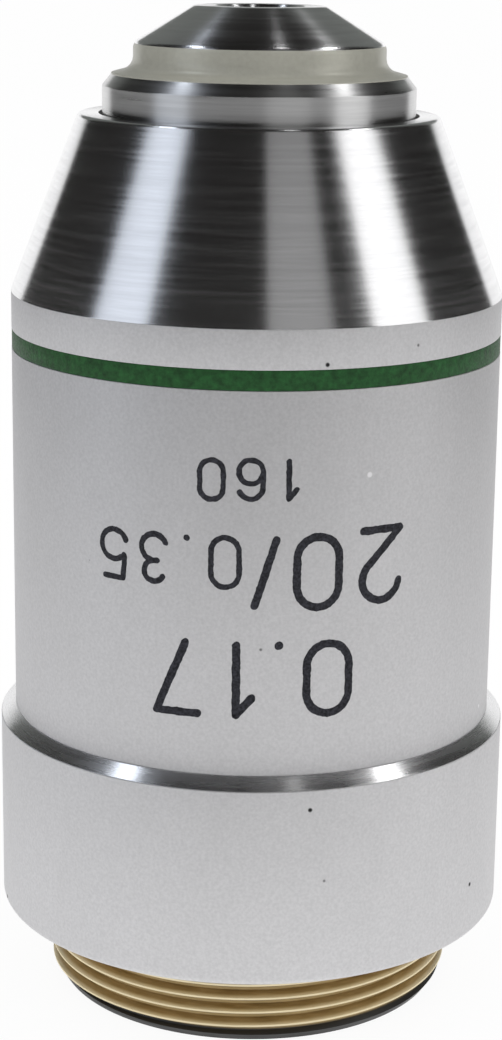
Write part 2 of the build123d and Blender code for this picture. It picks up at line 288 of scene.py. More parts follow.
@dataclass(frozen=True)
class Specks:
    """Spots scattered over a surface: their spacing, radius, tone and place of the pattern."""

    spacing: float
    size: float
    tone: float
    shift: float
    fade: float = 1.7

    def cover(self, graph: Graph) -> bpy.types.NodeSocket:
        """Finds where the spots lie.

        Args:
            graph: graph of the material.

        Returns:
            One inside a spot and zero outside.
        """
        at = graph.add("ShaderNodeMapping", {"Vector": graph.place, "Location": (self.shift,) * 3})
        cell = graph.add("ShaderNodeTexVoronoi", {
            "Vector": at.outputs[0], "Scale": 1.0 / (self.spacing * MM), "Randomness": 1.0})
        return graph.ramp(cell.outputs["Distance"], self.size, self.size * self.fade, 1.0, 0.0)


@dataclass(frozen=True)
class SatinChrome(Finish):
    """Blasted and chromed metal: even, dull, with a fine grain and a few specks."""

    roughness: float = 0.5
    grain_size: float = 0.09
    grain_depth: float = 0.004
    cloud_size: tuple[float, float, float] = (5.0, 5.0, 9.0)
    specks: tuple[Specks, ...] = (Specks(3.4, 0.022, 0.05, 0.0), Specks(4.6, 0.02, 1.3, 5.0))

    def wire(self, graph: Graph) -> None:
        """Wires grain, cloudy tone and scattered dark and light specks.

        Args:
            graph: graph of the new material.
        """
        grain = graph.grain([self.grain_size] * 3, 4.0, 0.6)
        cloud = graph.grain(self.cloud_size, 3.0, 0.55, 3.0)
        coarse = graph.grain([self.grain_size * 1.6] * 3, 2.0, 0.5, 7.0)
        soft = self.mottle(graph, cloud, 0.96, 1.03)
        flecked = graph.add("ShaderNodeMix", data_type="RGBA", blend_type="MULTIPLY")
        graph.feed(flecked, {0: 1.0, 6: soft, 7: graph.uneven(coarse, 0.95, 0.05)})
        colour = flecked.outputs[2]
        for specks in self.specks:
            colour = graph.blend(specks.cover(graph), colour, self.rgba(specks.tone))
        graph.finish(Base_Color=colour, Metallic=1.0,
                     Roughness=graph.uneven(cloud, self.roughness, 0.03),
                     Normal=graph.bump(grain, self.grain_depth))


@dataclass(frozen=True)
class TurnedMetal(Finish):
    """Bright metal with the fine rings that a lathe leaves, which draw highlights out."""

    roughness: float = 0.22
    anisotropy: float = 0.85
    line_width: float = 0.045
    line_depth: float = 0.0004
    wander: float = 0.0003

    def wire(self, graph: Graph) -> None:
        """Wires the lathe's rings, their small wander and the stretched highlight.

        Args:
            graph: graph of the new material.
        """
        rings = graph.grain((9.0, 9.0, self.line_width), 3.0, 0.65)
        wander = graph.grain((0.9, 0.9, self.line_width * 1.7), 2.0, 0.5, 4.0)
        tone = graph.grain((6.0, 6.0, self.line_width * 4.0), 4.0, 0.6, 9.0)
        cut = graph.add("ShaderNodeTangent", direction_type="RADIAL", axis="Z")
        graph.finish(Base_Color=self.mottle(graph, tone, 0.9, 1.04), Metallic=1.0,
                     Anisotropic=self.anisotropy, Anisotropic_Rotation=0.25,
                     Tangent=cut.outputs[0], Roughness=graph.uneven(tone, self.roughness, 0.03),
                     Normal=graph.bump(rings, self.line_depth, graph.bump(wander, self.wander)))


@dataclass(frozen=True)
class ThreadBrass(Finish):
    """Bare brass of the mounting thread: paler crests, brown grooves and a near-black end."""

    groove: tuple[float, float, float] = (0.34, 0.245, 0.11)
    crest_tone: tuple[float, float, float] = (0.85, 0.74, 0.5)
    end_tone: tuple[float, float, float] = (0.012, 0.011, 0.01)
    crest_from: float = 9.947
    crest_full: float = 10.117
    dark_below: float = 0.55
    dark_fade: float = 0.12

    def wire(self, graph: Graph) -> None:
        """Wires the paler crests by distance from the axis and the near-black end by height.

        Args:
            graph: graph of the new material.
        """
        parts = graph.add("ShaderNodeSeparateXYZ", {0: graph.place}).outputs
        flat = graph.add("ShaderNodeCombineXYZ", {0: parts[0], 1: parts[1]})
        radius = graph.add("ShaderNodeVectorMath", {0: flat.outputs[0]}, operation="LENGTH")
        streak = graph.grain((1.6, 1.6, 0.12), 4.0, 0.6)
        scratch = graph.grain((2.0, 2.0, 0.05), 3.0, 0.6, 2.0)
        # Paler colour towards the crests, by distance from the axis.
        crest_share = graph.ramp(radius.outputs["Value"], self.crest_from * MM, self.crest_full * MM)
        # Near-black colour without metal towards the thread's end, below dark_below.
        dark = graph.ramp(parts["Z"], self.dark_below * MM, (self.dark_below + self.dark_fade) * MM,
                          1.0, 0.0)
        brass = graph.blend(graph.ramp(streak, 0.3, 0.7), (*self.groove, 1.0), self.rgba())
        brass = graph.blend(crest_share, brass, (*self.crest_tone, 1.0))
        graph.finish(Base_Color=graph.blend(dark, brass, (*self.end_tone, 1.0)),
                     Metallic=graph.ramp(dark, 0.0, 1.0, 0.85, 0.0),
                     Roughness=graph.uneven(streak, 0.465, 0.085),
                     Normal=graph.bump(scratch, 0.0015))


@dataclass(frozen=True)
class Enamel(Finish):
    """Filled enamel of the magnification ring: mottled, slightly rough."""

    gloss: float = 0.2

    def wire(self, graph: Graph) -> None:
        """Wires the mottled colour and its orange-peel surface.

        Args:
            graph: graph of the new material.
        """
        coarse = graph.grain((0.35, 0.35, 0.35), 4.0, 0.65)
        fine = graph.grain((0.1, 0.1, 0.1), 2.0, 0.5, 6.0)
        graph.finish(Base_Color=self.mottle(graph, coarse, 0.62, 1.5, 0.18),
                     Roughness=graph.uneven(fine, 0.49, 0.11),
                     Specular_IOR_Level=self.gloss, Normal=graph.bump(fine, 0.01))


@dataclass(frozen=True)
class EngravingFill(Finish):
    """Black filler in the engraved figures, dull and a little uneven."""

    roughness: float = 0.62
    gloss: float = 0.15

    def wire(self, graph: Graph) -> None:
        """Wires the filler's uneven tone and surface.

        Args:
            graph: graph of the new material.
        """
        grain = graph.grain((0.12, 0.12, 0.12), 3.0, 0.6)
        graph.finish(Base_Color=self.mottle(graph, grain, 0.5, 2.2), Roughness=self.roughness,
                     Specular_IOR_Level=self.gloss, Normal=graph.bump(grain, 0.01))


@dataclass(frozen=True)
class SmoothMetal(Finish):
    """Machined or drawn metal without a strong direction: washers, spring, blackened rings."""

    metallic: float = 1.0
    roughness: float = 0.4
    variation: float = 0.15
    grain_size: float = 0.3

    def wire(self, graph: Graph) -> None:
        """Wires a soft variation of tone, gloss and surface.

        Args:
            graph: graph of the new material.
        """
        grain = graph.grain([self.grain_size] * 3, 4.0, 0.6)
        tone = self.mottle(graph, grain, 1.0 - self.variation, 1.0 + self.variation, 0.2)
        graph.finish(Base_Color=tone, Metallic=self.metallic,
                     Roughness=graph.uneven(grain, self.roughness, 0.06),
                     Normal=graph.bump(grain, 0.003))


@dataclass(frozen=True)
class CoatedGlass(Finish):
    """Optical glass whose thin coating tints its reflection."""

    index: float = 1.6
    roughness: float = 0.02
    coating: tuple[float, float, float] = (0.55, 0.72, 1.0)

    def wire(self, graph: Graph) -> None:
        """Wires clear glass with a faint unevenness of its coating.

        Args:
            graph: graph of the new material.
        """
        film = graph.grain((4.0, 4.0, 4.0), 2.0, 0.5)
        graph.finish(Base_Color=self.mottle(graph, film, 0.97, 1.0), Roughness=self.roughness,
                     IOR=self.index, Transmission_Weight=1.0, Specular_Tint=(*self.coating, 1.0))


SATIN = SatinChrome("satin_chrome_sleeve", Slot.SATIN_CHROME, (0.74, 0.735, 0.745), roughness=0.62)
SATIN_COLLAR = SatinChrome("satin_chrome_collar", Slot.SATIN_CHROME, (0.78, 0.775, 0.785),
                           roughness=0.6)
POLISHED = TurnedMetal("polished_chrome_turned", Slot.POLISHED_CHROME, (0.86, 0.86, 0.87))
POLISHED_EDGE = TurnedMetal("polished_chrome_edge", Slot.POLISHED_CHROME, (0.92, 0.92, 0.93),
                            roughness=0.27, anisotropy=1.0)
POLISHED_NOSE = TurnedMetal("polished_nickel_nose", Slot.POLISHED_CHROME, (0.66, 0.66, 0.66),
                            roughness=0.3, anisotropy=0.7)
CREAM = SmoothMetal("pale_nickel_satin", Slot.POLISHED_CHROME, (0.36, 0.355, 0.305),
                    metallic=0.3, roughness=0.34, variation=0.05, grain_size=0.25)
BRASS_THREAD = ThreadBrass("bare_brass_thread", Slot.PLAIN_BRASS, (0.56, 0.42, 0.215))
GREEN = Enamel("green_enamel_fill", Slot.GREEN_ENAMEL, (0.009, 0.055, 0.013))
FIGURE_BLACK = EngravingFill("engraving_black_fill", Slot.SATIN_CHROME, (0.016, 0.016, 0.02))
BLACKENED = SmoothMetal("blackened_brass_bore", Slot.BLACKENED_BRASS, (0.03, 0.028, 0.026),
                        metallic=0.6, roughness=0.5, variation=0.4)
WASHER_BRASS = SmoothMetal("plain_brass_washer", Slot.PLAIN_BRASS, (0.72, 0.53, 0.26),
                           roughness=0.33)
STEEL = SmoothMetal("spring_steel_wire", Slot.SPRING_STEEL, (0.5, 0.5, 0.52), roughness=0.32)
GLASS = CoatedGlass("coated_optical_glass", Slot.OPTICAL_GLASS, (0.93, 0.98, 0.96))


def placed(name: str, data: bpy.types.ID) -> bpy.types.Object:
    """Makes an object of a mesh, lamp or camera and links it to the scene.

    Args:
        name: name of the object.
        data: its mesh, lamp or camera data.

    Returns:
        The object, at the origin.
    """
    thing = bpy.data.objects.new(name, data)
    bpy.context.scene.collection.objects.link(thing)
    return thing


def stored(name: str, mesh: bmesh.types.BMesh) -> bpy.types.Mesh:
    """Writes a bmesh into new mesh data.

    Args:
        name: name of the data.
        mesh: mesh to write, freed here.

    Returns:
        The mesh data.
    """
    data = bpy.data.meshes.new(name)
    mesh.to_mesh(data)
    mesh.free()
    return data


def welded(mesh: bmesh.types.BMesh, gap: float = MERGE) -> None:
    """Merges points nearer than a gap, and drops edges and faces without size."""
    bmesh.ops.remove_doubles(mesh, verts=mesh.verts[:], dist=gap)
    bmesh.ops.dissolve_degenerate(mesh, edges=mesh.edges[:], dist=gap)


def picked(items: Sequence[object], kind: type) -> list:
    """Picks the vertices, edges or faces out of an operator's result."""
    return [item for item in items if isinstance(item, kind)]


def open_edges(mesh: bmesh.types.BMesh) -> list[bmesh.types.BMEdge]:
    """Edges at the rim of a mesh."""
    return [edge for edge in mesh.edges if edge.is_boundary]


def spun(mesh: bmesh.types.BMesh, turn: float, steps: int, geom: Optional[list] = None,
         merge: bool = False, rise: float = 0.0, centre: Sequence[float] = (0, 0, 0),
         axis: Sequence[float] = (0, 0, 1)) -> list:
    """Spins points and edges about an axis.

    Args:
        mesh: mesh that holds them.
        turn: angle in radians.
        steps: how many faces it makes round the turn.
        geom: what is spun, or None for all of the mesh.
        merge: joins the last step to the first, for a full turn.
        rise: climb along Z at each step.
        centre: point on the axis.
        axis: direction of the axis.

    Returns:
        What the last step made.
    """
    return bmesh.ops.spin(mesh, geom=geom or mesh.verts[:] + mesh.edges[:], cent=centre, axis=axis,
                          dvec=(0, 0, rise), angle=turn, steps=steps, use_merge=merge,
                          use_normal_flip=False, use_duplicate=False)["geom_last"]


def sliced(mesh: bmesh.types.BMesh, level: float, gap: float, low: bool = False,
           high: bool = False) -> None:
    """Cuts a mesh at a height.

    Args:
        mesh: mesh to cut.
        level: height of the cut.
        gap: points nearer than this to the cut are on it.
        low: takes away what is below.
        high: takes away what is above.
    """
    bmesh.ops.bisect_plane(mesh, geom=mesh.verts[:] + mesh.edges[:] + mesh.faces[:], dist=gap,
                           plane_co=(0, 0, level), plane_no=(0, 0, 1), clear_inner=low,
                           clear_outer=high)


@dataclass(frozen=True)
class Corner:
    """Corner of a half section; a rounding above zero breaks the edge."""

    radius: float
    height: float
    rounding: float = 0.0


class Lathe:
    """Spins half sections about the optical axis into closed shells of one mesh."""

    lens_steps = 20
    rounding_steps = 4

    def __init__(self, steps: int = 192) -> None:
        """Starts with an empty mesh.

        Args:
            steps: faces round one full turn.
        """
        self.steps = steps
        self.mesh = bmesh.new()

    def spin(self, shell: bmesh.types.BMesh) -> None:
        """Spins the wire in a mesh a full turn and adds the shell to this one.

        Args:
            shell: mesh that holds one closed outline in the plane of the -Y side.
        """
        spun(shell, math.tau, self.steps, merge=True)
        welded(shell)
        self.take(shell)

    def take(self, shell: bmesh.types.BMesh) -> None:
        """Turns a closed shell's faces outwards and moves it into this mesh.

        Args:
            shell: closed shell, freed here.
        """
        bmesh.ops.recalc_face_normals(shell, faces=shell.faces[:])
        data = stored("shell", shell)
        self.mesh.from_mesh(data)
        bpy.data.meshes.remove(data)

    def turn(self, *corners: Corner) -> None:
        """Adds the shell of a closed half section.

        Args:
            corners: corners in order round the section.
        """
        shell = bmesh.new()
        verts = [shell.verts.new((0, -corner.radius, corner.height)) for corner in corners]
        for first, second in zip(verts, verts[1:] + verts[:1]):
            shell.edges.new((first, second))
        for vert, corner in zip(verts, corners):
            if corner.rounding:
                bmesh.ops.bevel(shell, geom=[vert], offset=corner.rounding, offset_type="OFFSET",
                                affect="VERTICES", segments=self.rounding_steps, profile=0.5,
                                material=-1)
        self.spin(shell)

    def ring(self, inner: float, outer: float, low: float, high: float, edge: float) -> None:
        """Adds a plain ring whose four edges are lightly broken."""
        self.turn(Corner(inner, low, edge), Corner(outer, low, edge), Corner(outer, high, edge),
                  Corner(inner, high, edge))

    def lens(self, edge: float, front: float, front_fall: float, back: float,
             back_fall: float) -> None:
        """Adds a round lens between two vertices on the axis.

        Args:
            edge: radius of the lens.
            front: height of its upper vertex.
            front_fall: how far the upper surface falls to its rim; negative rises.
            back: height of its lower vertex.
            back_fall: the same for the lower surface.
        """
        shell = bmesh.new()
        rims = []
        for vertex, fall in ((front, front_fall), (back, back_fall)):
            tip = shell.verts.new((0, 0, vertex))
            if fall == 0:
                rims.append(shell.verts.new((0, -edge, vertex)))
                shell.edges.new((tip, rims[-1]))
                continue
            curve = math.copysign((edge * edge + fall * fall) / (2 * abs(fall)), fall)
            last = spun(shell, math.asin(edge / curve), self.lens_steps, [tip],
                        centre=(0, 0, vertex - curve), axis=(1, 0, 0))
            rims += picked(last, bmesh.types.BMVert)
        shell.edges.new(rims)
        self.spin(shell)

    def carve(self, cutter: bmesh.types.BMesh) -> None:
        """Cuts a closed mesh out of this one.

        Args:
            cutter: mesh to cut with, freed here.
        """
        blank, tool = [placed("blank", stored("blank", mesh)) for mesh in (self.mesh, cutter)]
        cut = blank.modifiers.new("cut", "BOOLEAN")
        cut.operation = "DIFFERENCE"
        cut.solver = "EXACT"
        cut.object = tool
        cut_blank = blank.evaluated_get(bpy.context.evaluated_depsgraph_get())
        shaped = bpy.data.meshes.new_from_object(cut_blank)
        self.mesh = bmesh.new()
        self.mesh.from_mesh(shaped)
        for data in (shaped, blank.data, tool.data):
            bpy.data.meshes.remove(data)

    def block(self, size: Sequence[float], middle: Sequence[float]) -> None:
        """Carves a box.

        Args:
            size: its size along X, Y and Z.
            middle: its middle.
        """
        cutter = bmesh.new()
        place = Matrix.Translation(middle) @ Matrix.Diagonal((*size, 1.0))
        bmesh.ops.create_cube(cutter, size=1.0, matrix=place)
        self.carve(cutter)

    def bore(self, radius: float, height: float, near: float, far: float) -> None:
        """Carves a hole along +Y.

        Args:
            radius: radius of the hole.
            height: height of its axis.
            near: Y where it starts.
            far: Y where it ends.
        """
        cutter = bmesh.new()
        place = (Matrix.Translation((0, (near + far) / 2, height))
                 @ Matrix.Rotation(QUARTER, 4, "X"))
        bmesh.ops.create_cone(cutter, cap_ends=True, segments=48, radius1=radius, radius2=radius,
                              depth=far - near, matrix=place)
        self.carve(cutter)

    def piece(self, name: str, body: Body, finishes: Sequence[Finish], replaces: Sequence[str],
              finish_at: Optional[Callable[[float, float], Finish]] = None) -> bpy.types.Object:
        """Makes the object of this mesh.

        Args:
            name: name of the piece.
            body: body that it rides on.
            finishes: its finishes, in the order of the mesh's material slots.
            replaces: CAD nodes that it stands for.
            finish_at: gives the finish for a face's radius and height.

        Returns:
            The finished object.
        """
        for face in self.mesh.faces:
            face.smooth = True
            if finish_at is not None:
                middle = face.calc_center_median()
                face.material_index = finishes.index(finish_at(middle.xy.length, middle.z))
        bmesh.ops.scale(self.mesh, vec=(MM, MM, MM), verts=self.mesh.verts[:])
        data = stored(name, self.mesh)
        data.set_sharp_from_angle(angle=SHARP_TURN)
        for finish in finishes:
            data.materials.append(finish.material())
        piece = placed(name, data)
        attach(piece, body.value)
        if replaces:
            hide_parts(*replaces)
        log.info("%s: %d faces on %s", name, len(data.polygons), body.value)
        return piece


@dataclass(frozen=True)
class GuideScrew:
    """Sizes of the headless screw that keeps the nose from turning."""

    height: float = 18.35
    radius: float = 1.0
    clearance: float = 0.03
    tip_radius: float = 0.6
    end_gap: float = 0.15


@dataclass
class Mount:
    """Brass mount: thread, shoulder, wide collar with its polished chamfer, and spigot."""

    crest: float = 10.137
    root: float = 9.687
    core: float = 9.3
    pitch: float = 0.7056
    front_crest: float = 0.93
    crest_flat: float = 0.09
    root_flat: float = 0.12
    first_turn: int = -3
    last_turn: int = 5
    turn_steps: int = 240
    lead_in: float = 0.5
    lead_in_height: float = 0.7
    thread_end: float = 3.5
    end_land: float = 0.2
    shoulder: float = 4.2
    recess: float = 4.35
    recess_radius: float = 10.237
    collar: float = 12.65
    collar_foot_round: float = 0.3
    collar_edge: float = 13.85
    collar_edge_round: float = 0.05
    collar_top: float = 14.35
    collar_top_round: float = 0.02
    sleeve: float = 11.92
    spigot: float = 10.84
    spigot_top: float = 21.85
    broken_edge: float = 0.1
    guide_bore: float = 7.56
    light_bore: float = 8.6
    light_bore_chamfer: float = 0.3
    light_bore_depth: float = 11.0
    black_wall: float = 0.4
    cutter_reach: float = 1.0
    cut_slack: float = 1e-6
    rim_slack: float = 1e-3

    def wind(self) -> bmesh.types.BMesh:
        """Winds the thread's flanks from one zig-zag chain.

        Returns:
            The open skin of the thread, longer than it has to be.
        """
        shell = bmesh.new()
        chain = []
        for turn in range(self.first_turn, self.last_turn + 1):
            height = self.front_crest + turn * self.pitch
            for radius, middle, flat in ((self.crest, height, self.crest_flat),
                                         (self.root, height + self.pitch / 2, self.root_flat)):
                chain += [shell.verts.new((0, -radius, middle + side * flat / 2))
                          for side in (-1, 1)]
        for first, second in zip(chain, chain[1:]):
            shell.edges.new((first, second))
        spun(shell, math.tau, self.turn_steps, rise=self.pitch / self.turn_steps)
        bmesh.ops.remove_doubles(shell, verts=shell.verts[:], dist=MERGE)
        return shell

    def trim(self, shell: bmesh.types.BMesh) -> None:
        """Cuts the thread to its length and turns its lead-in down.

        Args:
            shell: skin of the thread.
        """
        for level in (0.0, self.lead_in_height / 2, self.lead_in_height, self.thread_end):
            sliced(shell, level, self.cut_slack, low=level == 0.0, high=level == self.thread_end)
        for vert in shell.verts:
            most = self.crest - self.lead_in * max(0.0, 1.0 - vert.co.z / self.lead_in_height)
            if vert.co.xy.length > most:
                vert.co.xy = vert.co.xy.normalized() * most
        welded(shell)

    def close(self, shell: bmesh.types.BMesh) -> None:
        """Closes the thread's two ends and joins them along its core.

        Args:
            shell: skin of the thread.
        """
        for level in (0.0, self.thread_end):
            rim = [edge for edge in open_edges(shell)
                   if max(abs(vert.co.z - level) for vert in edge.verts) < self.rim_slack]
            ring = bmesh.ops.create_circle(
                shell, cap_ends=False, segments=self.turn_steps, radius=self.core,
                matrix=Matrix.Translation((0, 0, level)))["verts"]
            rim += list({edge for vert in ring for edge in vert.link_edges})
            bmesh.ops.triangle_fill(shell, use_beauty=True, use_dissolve=False, edges=rim)
        bmesh.ops.bridge_loops(shell, edges=open_edges(shell))
        bmesh.ops.recalc_face_normals(shell, faces=shell.faces[:])

    def thread(self) -> None:
        """Makes the piece of the mounting thread."""
        shell = self.wind()
        self.trim(shell)
        self.close(shell)
        lathe = Lathe()
        lathe.take(shell)
        lathe.piece("mount_thread", Body.HOUSING, [BRASS_THREAD], ["threaded_mount"])

    def finish_at(self, radius: float, height: float) -> Finish:
        """Satin outside, polished chamfer, black bores, bare brass at the thread's end.

        Args:
            radius: distance of a face from the axis.
            height: its height.

        Returns:
            The face's finish.
        """
        if radius < self.root and height < self.shoulder:
            bare = height < NEAR or radius > self.core - self.end_land
            return BRASS_THREAD if bare else BLACKENED
        if radius < self.light_bore + self.black_wall:
            return BLACKENED
        if height > self.collar_edge + NEAR and radius > self.sleeve - NEAR:
            return POLISHED_EDGE
        return SATIN_COLLAR

    def body(self) -> None:
        """Turns everything of the mount except its thread, and bores it for the guide screw."""
        lathe = Lathe(256)
        lathe.turn(
            Corner(self.light_bore + self.light_bore_chamfer, 0.0), Corner(self.core, 0.0),
            Corner(self.core, self.thread_end), Corner(self.root, self.thread_end),
            Corner(self.root, self.recess), Corner(self.recess_radius, self.recess),
            Corner(self.recess_radius, self.shoulder),
            Corner(self.collar, self.shoulder, self.collar_foot_round),
            Corner(self.collar, self.collar_edge, self.collar_edge_round),
            Corner(self.sleeve, self.collar_top, self.collar_top_round),
            Corner(self.spigot, self.collar_top),
            Corner(self.spigot, self.spigot_top, self.broken_edge),
            Corner(self.guide_bore, self.spigot_top, self.broken_edge),
            Corner(self.guide_bore, self.light_bore_depth),
            Corner(self.light_bore, self.light_bore_depth),
            Corner(self.light_bore, self.light_bore_chamfer))
        lathe.bore(GuideScrew.radius + GuideScrew.clearance, GuideScrew.height,
                   self.guide_bore - self.cutter_reach, self.spigot + self.cutter_reach)
        lathe.piece("mount_collar", Body.HOUSING,
                    [SATIN_COLLAR, POLISHED_EDGE, BLACKENED, BRASS_THREAD], ["threaded_mount"],
                    self.finish_at)

    def build(self) -> None:
        """Builds the mount."""
        self.body()
        self.thread()


@dataclass
class Sleeve:
    """Sleeve: satin cylinder and polished cone in one piece, with the enamel ring."""

    outer: float = 11.92
    bore: float = 10.87
    low: float = 14.35
    low_round: float = 0.06
    band_low: float = 32.40
    band_high: float = 33.33
    band_floor: float = 11.72
    groove_round: float = 0.03
    enamel_under: float = 0.02
    enamel_over: float = 0.01
    enamel_side: float = 0.005
    stop: float = 34.6
    cone_foot: float = 35.15
    cone_foot_round: float = 0.05
    cone_top: float = 43.6
    cone_top_radius: float = 8.65
    cone_top_round: float = 0.15
    mouth: float = 7.56
    mouth_chamfer: float = 0.12
    lip_height: float = 0.5
    lip_width: float = 0.15
    relief: float = 8.6
    land: float = 2.0

    def finish_at(self, radius: float, height: float) -> Finish:
        """Polished on the cone and its lip, black inside the mouth, satin elsewhere.

        Args:
            radius: distance of a face from the axis.
            height: its height.

        Returns:
            The face's finish.
        """
        if height > self.cone_foot + NEAR / 2 and radius > self.mouth + self.lip_width:
            bright = radius > self.relief or height > self.cone_top - self.lip_height
            return POLISHED if bright else BLACKENED
        return BLACKENED if radius < self.bore + NEAR else SATIN

    def tube(self) -> None:
        """Turns the sleeve."""
        lathe = Lathe(256)
        relief_top = self.cone_top - self.land
        lathe.turn(
            Corner(self.bore, self.low), Corner(self.outer, self.low, self.low_round),
            Corner(self.outer, self.band_low, self.groove_round),
            Corner(self.band_floor, self.band_low), Corner(self.band_floor, self.band_high),
            Corner(self.outer, self.band_high, self.groove_round),
            Corner(self.outer, self.cone_foot, self.cone_foot_round),
            Corner(self.cone_top_radius, self.cone_top, self.cone_top_round),
            Corner(self.mouth + self.mouth_chamfer, self.cone_top),
            Corner(self.mouth, self.cone_top - self.mouth_chamfer), Corner(self.mouth, relief_top),
            Corner(self.relief, relief_top - self.relief + self.mouth),
            Corner(self.relief, self.stop), Corner(self.bore, self.stop))
        lathe.piece("sleeve_tube", Body.HOUSING, [SATIN, POLISHED, BLACKENED], ["sleeve"],
                    self.finish_at)

    def band(self) -> None:
        """Turns the enamel ring, a hair lower than the sleeve's surface."""
        lathe = Lathe(256)
        lathe.ring(self.band_floor + self.enamel_under, self.outer - self.enamel_over,
                   self.band_low + self.enamel_side, self.band_high - self.enamel_side,
                   self.groove_round)
        lathe.piece("band_enamel", Body.HOUSING, [GREEN], ["magnification_band"])

    def build(self) -> None:
        """Builds the sleeve and its ring."""
        self.tube()
        self.band()


@dataclass
class Barrel:
    """Sliding barrel whose front end is the bright cylinder in the sleeve's mouth."""

    outer: float = 7.5
    bore: float = 6.3
    tail: float = 16.0
    flange: float = 10.81
    flange_low: float = 32.7
    flange_high: float = 34.3
    broken_edge: float = 0.1
    front: float = 45.43
    chamfer_width: float = 0.43
    chamfer_height: float = 0.53
    chamfer_round: float = 0.03
    travel: float = 2.0
    slot_depth: float = 0.7
    slot_clearance: float = 0.08
    black_wall: float = 0.05

    def finish_at(self, radius: float, height: float) -> Finish:
        """Bright outside, black in the bore, whatever the height."""
        return BLACKENED if radius < self.bore + self.black_wall else POLISHED_NOSE

    def build(self) -> None:
        """Turns the barrel and cuts the slot that the guide screw runs in."""
        lathe = Lathe(224)
        lathe.turn(
            Corner(self.bore, self.tail, self.broken_edge),
            Corner(self.outer, self.tail, self.broken_edge), Corner(self.outer, self.flange_low),
            Corner(self.flange, self.flange_low, self.broken_edge),
            Corner(self.flange, self.flange_high, self.broken_edge),
            Corner(self.outer, self.flange_high),
            Corner(self.outer, self.front - self.chamfer_height, self.chamfer_round),
            Corner(self.outer - self.chamfer_width, self.front), Corner(self.bore, self.front))
        low = GuideScrew.height - GuideScrew.tip_radius - GuideScrew.end_gap
        length = 2 * (GuideScrew.tip_radius + GuideScrew.end_gap) + self.travel
        width = 2 * (GuideScrew.tip_radius + self.slot_clearance)
        lathe.block((width, 2 * self.slot_depth, length), (0, self.outer, low + length / 2))
        lathe.piece("barrel_nose", Body.NOSE, [POLISHED_NOSE, BLACKENED], ["lens_barrel"],
                    self.finish_at)


@dataclass
class FrontCell:
    """Front cell: pale shoulder and neck, and the polished conical tip with the front lens."""

    rear: float = 41.43
    rear_round: float = 0.05
    spigot: float = 6.27
    barrel_front: float = 45.43
    shoulder: float = 7.07
    land: float = 45.48
    lip_round: float = 0.02
    neck: float = 6.03
    neck_foot: float = 45.75
    neck_round: float = 0.5
    neck_wall: float = 0.12
    tip_base: float = 46.9
    tip_base_round: float = 0.24
    polish_overlap: float = 0.03
    tip_face_radius: float = 3.15
    tip_face: float = 48.65
    tip_face_round: float = 0.08
    aperture: float = 1.9
    lip_chamfer: float = 0.25
    front_seat: float = 48.2
    front_pocket: float = 2.6
    throat: float = 3.0
    throat_top: float = 47.2
    second_seat: float = 45.6
    second_pocket: float = 4.67

    def finish_at(self, radius: float, height: float) -> Finish:
        """Polished tip, pale satin neck and shoulder, black inside.

        Args:
            radius: distance of a face from the axis.
            height: its height.

        Returns:
            The face's finish.
        """
        if height > self.tip_base - self.polish_overlap and radius > self.aperture + 2 * NEAR:
            return POLISHED
        if height > self.barrel_front + NEAR / 2 and radius > self.neck - self.neck_wall:
            return CREAM
        return BLACKENED

    def build(self) -> None:
        """Turns the front cell."""
        lathe = Lathe(224)
        lathe.turn(
            Corner(self.second_pocket, self.rear), Corner(self.spigot, self.rear, self.rear_round),
            Corner(self.spigot, self.barrel_front), Corner(self.shoulder, self.barrel_front),
            Corner(self.shoulder, self.land, self.lip_round),
            Corner(self.neck, self.neck_foot, self.neck_round),
            Corner(self.neck, self.tip_base, self.tip_base_round),
            Corner(self.tip_face_radius, self.tip_face, self.tip_face_round),
            Corner(self.aperture + self.lip_chamfer, self.tip_face, self.lip_round),
            Corner(self.aperture, self.tip_face - self.lip_chamfer),
            Corner(self.aperture, self.front_seat), Corner(self.front_pocket, self.front_seat),
            Corner(self.front_pocket, self.throat_top), Corner(self.throat, self.throat_top),
            Corner(self.throat, self.second_seat), Corner(self.second_pocket, self.second_seat))
        lathe.piece("front_cell_turned", Body.NOSE, [POLISHED, CREAM, BLACKENED], ["front_cell"],
                    self.finish_at)


@dataclass(frozen=True)
class Lens:
    """One glass: radius, upper vertex, fall of the upper surface, lower vertex and its fall."""

    node: str
    edge: float
    front: float
    front_fall: float
    back: float
    back_fall: float

    def build(self) -> None:
        """Turns the glass."""
        lathe = Lathe(128)
        lathe.lens(self.edge, self.front, self.front_fall, self.back, self.back_fall)
        lathe.piece(self.node + "_glass", Body.NOSE, [GLASS], [self.node])


@dataclass(frozen=True)
class Cell:
    """Blackened ring with a lip at the front and a pocket for the glass behind it."""

    node: str
    glass: float
    top: float
    height: float
    outer: float = 6.27
    lip: float = 0.9
    reach: float = 0.5
    clearance: float = 0.03
    broken_edge: float = 0.05
    opening_round: float = 0.15

    def build(self) -> None:
        """Turns the cell."""
        lathe = Lathe(160)
        pocket, opening = self.glass + self.clearance, self.glass - self.reach
        low, lip = self.top - self.height, self.top - self.lip
        lathe.turn(
            Corner(pocket, low, self.broken_edge), Corner(self.outer, low, self.broken_edge),
            Corner(self.outer, self.top, self.broken_edge),
            Corner(opening, self.top, self.opening_round), Corner(opening, lip),
            Corner(pocket, lip))
        lathe.piece(self.node + "_turned", Body.NOSE, [BLACKENED], [self.node])


